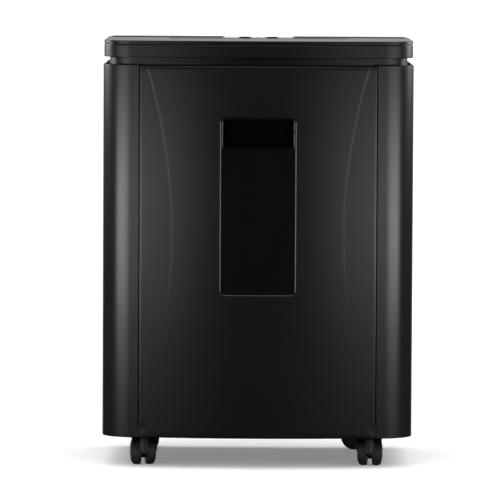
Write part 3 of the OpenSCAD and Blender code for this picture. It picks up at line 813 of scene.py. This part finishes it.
    def stiffener(self, side: int) -> bpy.types.Object:
        """Inward flange along one side of the panel."""
        outer = self.half
        inner = self.half - self.rib_thick
        start = self.wall - 0.001
        rim = [(outer, self.bow(outer) + start), (inner, self.bow(inner) + start),
               (inner, self.bow(inner) + self.rib_depth), (outer, self.bow(outer) + self.rib_depth)]
        points = [Vector((side * x, y, z)) for z in (self.low + 0.001, self.high - 0.001) for x, y in rim]
        faces = [(0, 1, 2, 3), (7, 6, 5, 4)] + [(i, (i + 1) % 4, 4 + (i + 1) % 4, 4 + i) for i in range(4)]
        return from_faces("stiffener", points, faces)

    def build(self, wardrobe: Wardrobe) -> None:
        """Make the panel and put it in the CAD panel's place."""
        panel = carve(self.slab(), self.prism(self.lip), "DIFFERENCE")
        join(panel, [self.lip_ring(), self.stiffener(1), self.stiffener(-1)])
        put(panel, wardrobe, "bin_front")


@dataclass
class Pane:
    """Smoked pane that follows the bow, with a flange behind the opening's edge."""

    front: BinFront
    sunk: float = 0.0012
    thick: float = 0.0023
    gap: float = 0.0006
    flange_thick: float = 0.002

    def plate(self, half: float, low: float, high: float, near: float, far: float) -> bpy.types.Object:
        """A bowed plate between two depths behind the panel's face."""
        columns = [half * (i / 20.0 - 1.0) for i in range(41)]
        rows = [low + (high - low) * j / 30.0 for j in range(31)]
        faces = [[[Vector((x, self.front.bow(x) + depth, z)) for x in columns] for z in rows]
                 for depth in (near, far)]
        return sheet("window_pane_finished", *faces)

    def build(self, wardrobe: Wardrobe) -> None:
        """Make the pane and its flange."""
        low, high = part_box("window_pane")
        half = self.front.window_half + self.gap
        pane = self.plate(half, low.z + FLANGE * 0.9, high.z, self.sunk, self.sunk + self.thick)
        carve(pane, self.front.prism(-self.gap), "INTERSECT")
        depth = self.front.wall
        flange = self.plate(high.x, low.z, high.z, depth, depth + self.flange_thick)
        put(join(pane, [flange]), wardrobe, "window_pane")


@dataclass
class HandleGrips:
    """Rounded finger edges down both sides of the handle recess."""

    front: BinFront
    reach: float = 0.0034
    stretch: float = 1.5
    clearance: float = 0.0004
    sunk: float = 0.0002
    depth: float = 0.012
    above_pane: float = 0.0024
    below_top: float = 0.0025
    steps: int = 10

    def grip(self, side: int) -> bpy.types.Object:
        """A quarter-round edge on one side of the recess."""
        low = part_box("window_pane")[1].z + self.above_pane
        high = self.front.window_high - self.below_top
        bowed = self.front.window_half**2 / (2.0 * self.front.bow_radius)
        face = self.front.apex + bowed + self.sunk
        edge = self.front.window_half - self.clearance
        rim = [(edge, face)]
        for i in range(1, self.steps + 1):
            angle = math.radians(90.0 * i / self.steps)
            rim.append((edge - self.reach * math.sin(angle),
                        face + self.reach * self.stretch * (1.0 - math.cos(angle))))
        rim += [(edge - self.reach, face + self.depth), (edge, face + self.depth)]
        count = len(rim)
        points = [Vector((side * x, y, z)) for z in (low, high) for x, y in rim]
        faces = [tuple(range(count)), tuple(range(2 * count - 1, count - 1, -1))]
        faces += [(i, (i + 1) % count, count + (i + 1) % count, count + i) for i in range(count)]
        return from_faces("handle_grips", points, faces)

    def build(self, wardrobe: Wardrobe) -> None:
        """Add both edges to the bin."""
        add_piece(join(self.grip(1), [self.grip(-1)]), wardrobe, "bin", Slot.BODY)


@dataclass
class Shells:
    """Casings and covers that keep the CAD shape, with rounded edges."""

    broad: float = 0.0010
    fine: float = 0.0004
    soft: float = 0.0008
    rim: float = 0.0013

    def build(self, wardrobe: Wardrobe) -> None:
        """Refine every casing."""
        radii = {
            "left_side_panel": self.broad, "right_side_panel": self.broad, "rear_panel": self.fine,
            "base_plate": self.broad, "top_frame": self.fine, "neck_tray": self.fine,
            "head_rim": self.rim, "top_cover": self.soft, "feed_throat": self.fine,
            "control_panel": self.fine, "handle_pocket": self.soft,
            "waste_bin": self.soft, "gearbox_cover": self.broad, "motor_mount": self.fine,
            "motor_can": self.broad, "switch_housing": self.fine, "power_rocker": self.fine,
            "cord_gland": self.fine, "power_button": self.soft, "reverse_button": self.soft,
            "bin_rails": self.fine, "caster_sockets": self.fine, "cutter_plates": self.fine,
        }
        for node, radius in radii.items():
            put(refined(node, radius), wardrobe, node)


@dataclass
class RearScrews:
    """Cross-head screws that hold the rear panel."""

    head_radius: float = 0.0035
    head_height: float = 0.0018

    def build(self, wardrobe: Wardrobe) -> None:
        """Put a screw wherever the CAD has one."""
        mesh = frame["nodes"]["case_screws"].data
        low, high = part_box("case_screws")
        inset = self.head_radius
        rows = sorted({round(v.co.z, 5) for v in mesh.vertices if abs(v.co.x - low.x) < 1e-5})
        y = high.y - self.head_height / 2.0
        seeds = [Vector((x, y, z)) for x in (low.x + inset, high.x - inset) for z in rows]
        screws = screw_tree().make(
            "case_screws_finished", seeds, Head_Radius=self.head_radius, Head_Height=self.head_height,
            Recess_Size=(0.0040, 0.0009, 0.0030), Crossed_Recess_Size=(0.0009, 0.0040, 0.0030),
            Finish=wardrobe.finish(Slot.SCREW.value),
        )
        put(screws, wardrobe, "case_screws")


@dataclass
class Ribs:
    """Moulded ribs under the base and on the bin's sides."""

    thick: float = 0.0015
    base_pitch: float = 0.018
    base_height: float = 0.0016
    base_margin: float = 0.03
    side_pitch: float = 0.03
    side_size: Point = (0.0016, 0.003, 0.30)

    def build(self, wardrobe: Wardrobe) -> None:
        """Make the ribs under the base and on the bin's sides."""
        tree = rib_tree()
        base_low, base_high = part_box("base_plate")
        reach = base_high.y - base_low.y - 2.0 * self.base_margin
        middle = (base_high.y + base_low.y) / 2.0
        sunk = base_low.z - self.base_height / 2.0 + 0.0001
        under = [Vector((self.base_pitch * i, middle, sunk)) for i in range(-5, 6)]
        ribs = tree.make("base_ribs", under, Rib_Size=(self.thick, reach, self.base_height),
                         Finish=wardrobe.finish(Slot.INNER.value))
        add_piece(ribs, wardrobe, "cabinet", Slot.INNER)

        low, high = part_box("waste_bin")
        middle = low.z + 0.045 + self.side_size[2] / 2.0
        sides = [Vector((x, low.y + 0.05 + self.side_pitch * i, middle))
                 for x in (low.x - 0.0005, high.x + 0.0005) for i in range(8)]
        ribs = tree.make("bin_side_ribs", sides, Rib_Size=self.side_size,
                         Finish=wardrobe.finish(Slot.BIN.value))
        add_piece(ribs, wardrobe, "bin", Slot.BIN)


@dataclass
class CasterWheels:
    """Barrel-shaped wheels with a rounded tread, a domed outer face and a hub cap."""

    turns: int = 64
    inner_round: float = 0.0018
    shoulder: float = 0.0055
    shoulder_turn: float = 78.0
    dome: float = 0.0006
    hub: float = 0.0065
    groove: float = 0.0008
    groove_depth: float = 0.0006

    def profile(self, radius: float, width: float) -> list[tuple[float, float]]:
        """Half outline of a wheel as distance along the axle and radius."""
        points = [(0.0, 0.0), (0.0, radius * 0.55), (0.0004, radius * 0.6), (0.0004, radius * 0.86)]
        points.append((0.0, radius * 0.9))
        for i in range(6):
            angle = math.radians(90.0 * i / 5.0)
            points.append((self.inner_round * (1.0 - math.cos(angle)),
                           radius - self.inner_round * (1.0 - math.sin(angle))))
        for i in range(11):
            angle = math.radians(self.shoulder_turn * i / 10.0)
            points.append((width - self.dome - self.shoulder * (1.0 - math.sin(angle)),
                           radius - self.shoulder * 1.15 * (1.0 - math.cos(angle))))
        edge = points[-1][1]
        groove = self.hub + self.groove
        for i in range(1, 5):
            share = i / 5.0
            points.append((width - self.dome * (1.0 - share), edge + (groove - edge) * share))
        face, sunk = width - 0.0001, width - self.groove_depth
        points += [(face, groove), (sunk, groove - 0.0003), (sunk, self.hub + 0.0001)]
        points += [(face, self.hub - 0.0004), (width, self.hub * 0.5), (width, 0.0)]
        return points

    def wheel(self, joint: dict, node: str) -> bpy.types.Object:
        """A wheel turned about its joint's axis.

        Args:
            joint: the wheel's joint in the record.
            node: the CAD wheel it stands for.

        Returns:
            The wheel, in place.
        """
        axis = Vector(joint["axis"]).normalized()
        centre = Vector(joint["pos_m"])
        along = [(v.co - centre).dot(axis) for v in frame["nodes"][node].data.vertices]
        side = 1.0 if sum(along) > 0.0 else -1.0
        inner = min(abs(a) for a in along)
        width = max(abs(a) for a in along) - inner
        radius = centre.z
        across = axis.cross(Vector((0.0, 0.0, 1.0))).normalized()
        up = Vector((0.0, 0.0, 1.0))
        outline = self.profile(radius, width)
        points, faces = [], []
        for k in range(self.turns):
            angle = 2.0 * math.pi * k / self.turns
            arm = across * math.cos(angle) + up * math.sin(angle)
            points += [centre + axis * side * (inner + a) + arm * r for a, r in outline]
        count = len(outline)
        for k in range(self.turns):
            n = (k + 1) % self.turns
            for i in range(count - 1):
                face = (k * count + i, k * count + i + 1, n * count + i + 1, n * count + i)
                faces.append(face)
        return self._closed(node + "_finished", points, faces)

    def _closed(self, name: str, points: list[Vector], faces: list[tuple[int, ...]]) -> bpy.types.Object:
        """Mesh of a turned shape whose poles are merged to single points."""
        mesh = bpy.data.meshes.new(name)
        mesh.from_pydata([tuple(p) for p in points], [], faces)
        work = bmesh.new()
        work.from_mesh(mesh)
        bmesh.ops.remove_doubles(work, verts=work.verts, dist=1e-7)
        bmesh.ops.dissolve_degenerate(work, edges=work.edges, dist=1e-8)
        bmesh.ops.recalc_face_normals(work, faces=work.faces)
        work.to_mesh(mesh)
        work.free()
        smooth(mesh)
        return add_object(name, mesh)

    def build(self, wardrobe: Wardrobe) -> None:
        """Make all eight wheels and soften the four housings."""
        for joint in frame["record"]["behaviour"]["joints"]:
            child = joint["child"]
            if "_wheel_" in child:
                put(self.wheel(joint, child), wardrobe, child)
        for corner in ("front_left", "front_right", "rear_left", "rear_right"):
            put(refined(corner + "_housing", 0.0006), wardrobe, corner + "_housing")


# ---------------------------------------------------------------- studio


@dataclass
class Studio:
    """Pale floor, white surroundings, two tall side softboxes and the camera."""

    distance: float = 6.5
    eye_height: float = 0.684
    aim_x: float = -0.0100
    aim_z: float = 0.2822
    view_width: float = 0.6383
    roll: float = 0.29
    left_glow: float = 9.2
    right_glow: float = 8.4
    fill_share: float = 0.27
    edge_share: float = 1.2
    strip_glow: float = 6.0
    sky_power: float = 4.6
    floor_glow: float = 0.2
    wall_glow: float = 0.75
    side_glow: float = 0.25
    room_glow: float = 0.012
    ceiling_glow: float = 0.2

    def camera(self) -> None:
        """Long-lens camera straight in front and slightly above."""
        data = bpy.data.cameras.new("camera")
        data.sensor_width = 36.0
        data.lens = data.sensor_width * self.distance / self.view_width
        data.clip_end = 60.0
        camera = bpy.data.objects.new("camera", data)
        bpy.context.scene.collection.objects.link(camera)
        front = CAD_BOX[0].y
        eye = Vector((self.aim_x, front - self.distance, self.eye_height))
        look = Vector((self.aim_x, front, self.aim_z)) - eye
        turn = look.to_track_quat("-Z", "Y").to_matrix()
        camera.matrix_world = Matrix.Translation(eye) @ (
            turn @ Matrix.Rotation(math.radians(self.roll), 3, "Z")
        ).to_4x4()
        bpy.context.scene.camera = camera

    def lamp(self, name: str, data: bpy.types.Light, place: Point, aim: Point) -> bpy.types.Object:
        """Put a lamp at a place, looking at a point."""
        lamp = bpy.data.objects.new(name, data)
        bpy.context.scene.collection.objects.link(lamp)
        direction = Vector(aim) - Vector(place)
        turn = direction.to_track_quat("-Z", "Y").to_matrix().to_4x4()
        lamp.matrix_world = Matrix.Translation(Vector(place)) @ turn
        return lamp

    def softbox(self, name: str, place: Point, aim: Point, size: tuple[float, float], glow: float) -> None:
        """Rectangular softbox that shows in gloss and leaves the floor alone.

        Args:
            name: the lamp's name.
            place: its middle.
            aim: the point it looks at.
            size: its width and height.
            glow: the radiance of its face.
        """
        data = bpy.data.lights.new(name, "AREA")
        data.shape = "RECTANGLE"
        data.size, data.size_y = size
        data.energy = glow * math.pi * size[0] * size[1]
        self.lamp(name, data, place, aim).visible_diffuse = False

    def floor(self) -> None:
        """Large pale floor at the wheels' level, which doesn't show in the plastic's gloss."""
        size = 30.0
        points = [Vector((x * size, y * size, 0.0)) for x, y in ((-1, -1), (1, -1), (1, 1), (-1, 1))]
        floor = from_faces("floor", points, [(0, 1, 2, 3)])
        mix = Mixture("floor_finish")
        speck = mix.noise(3.0, 2.0)
        mix.feed("Base Color", mix.blend(speck, (0.84, 0.84, 0.84), (0.86, 0.86, 0.86)))
        mix.fix(Roughness=0.7, Emission_Color=(1.0, 1.0, 1.0, 1.0), Emission_Strength=self.floor_glow)
        floor.data.materials.append(mix.material)
        floor.visible_glossy = False

    def surroundings(self) -> None:
        """Dim room with a pale wall far behind, plain white where the camera looks past the floor."""
        world = bpy.data.worlds.new("studio")
        bpy.context.scene.world = world
        world.use_nodes = True
        tree = world.node_tree
        nodes = tree.nodes
        background = nodes["Background"]
        coordinates = nodes.new("ShaderNodeTexCoord")
        axes = nodes.new("ShaderNodeSeparateXYZ")
        tree.links.new(coordinates.outputs["Generated"], axes.inputs[0])
        across = Wire(tree, axes.outputs["X"])
        aside = across.at_least(0.0 - across)
        above = Wire(tree, axes.outputs["Z"])
        wall = Wire(tree, axes.outputs["Y"]).ramp(0.85, 0.98) * self.wall_glow
        sides = aside.ramp(0.6, 0.95) * above.ramp(-0.15, 0.05) * self.side_glow
        room = self.room_glow + wall + sides + above.ramp(0.2, 0.9) * self.ceiling_glow
        path = nodes.new("ShaderNodeLightPath")
        seen = Wire(tree, path.outputs["Is Camera Ray"])
        strength = seen * 1.05 + (1.0 - seen) * room
        tree.links.new(strength.socket, background.inputs["Strength"])
        background.inputs["Color"].default_value = (1.0, 1.0, 1.0, 1.0)

    def build(self) -> None:
        """Set up floor, surroundings and lights."""
        self.floor()
        self.surroundings()
        for side, glow in ((-1.0, self.left_glow), (1.0, self.right_glow)):
            name = "left" if side < 0.0 else "right"
            self.softbox(name + "_softbox", (side * 1.08, -0.82, 0.27), (side * 0.17, -0.13, 0.29),
                         (0.8, 0.22), glow)
            self.softbox(name + "_fill", (side * 0.68, -1.32, 0.285), (side * 0.15, -0.13, 0.30),
                         (0.6, 0.24), glow * self.fill_share)
            self.softbox(name + "_edge_box", (side * 1.15, 0.55, 0.74), (side * 0.2, -0.1, 0.5),
                         (0.7, 0.36), glow * self.edge_share)
        self.softbox("front_strip", (0.0, -1.6, 1.75), (0.0, -0.15, 0.25), (1.4, 0.3), self.strip_glow)
        sky = bpy.data.lights.new("sky", "SUN")
        sky.energy = self.sky_power
        sky.angle = math.radians(130.0)
        self.lamp("sky", sky, (0.0, -0.95, 2.0), (0.0, 0.0, 0.0)).visible_glossy = False
        bpy.context.scene.view_settings.view_transform = "Standard"


def main() -> None:
    """Build every sub-assembly and the studio."""
    logging.basicConfig(level=logging.INFO, format="%(name)s: %(message)s")
    studio = Studio()
    studio.camera()
    wardrobe = Wardrobe()
    wardrobe.dress_nodes()
    front = BinFront()
    for part in (front, Pane(front), HandleGrips(front), Shells(), RearScrews(), Ribs(), CasterWheels()):
        part.build(wardrobe)
    studio.build()


if __name__ == "__main__":
    main()
